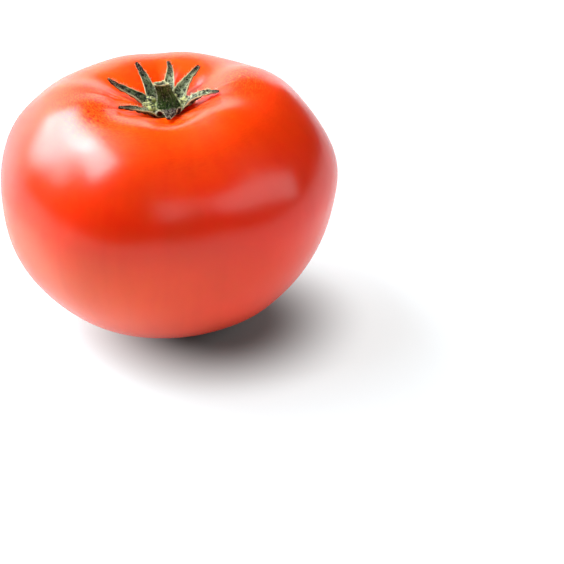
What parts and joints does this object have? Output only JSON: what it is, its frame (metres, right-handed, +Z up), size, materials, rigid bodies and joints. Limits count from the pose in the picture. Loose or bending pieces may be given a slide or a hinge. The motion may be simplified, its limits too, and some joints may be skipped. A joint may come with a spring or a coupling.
{
  "type": "salad tomato",
  "caption": "Whole ripe salad tomato, broad and lobed round its stem hollow, with a spread green calyx, a short stalk stub and a small flat spot to rest on.",
  "frame": {"origin": "on the surface that the tomato rests on, under the middle of its width and depth", "axes": "+Z up, from the flat spot to the stem hollow; X along the fruit's widest direction; the short sepal points to -Y"},
  "size_m": [0.0802, 0.0794, 0.062],
  "materials": {
    "ripe_skin": "smooth waxy red skin, glossy, a little translucent",
    "calyx_green": "dull dark green leaf, finely haired, dry at the tips",
    "stalk_green": "dull green stem, ribbed, with a dry pale cut end"
  },
  "bodies": {
    "root": {"fruit": "ripe_skin", "calyx": "calyx_green", "stalk": "stalk_green"}
  },
  "joints": []
}
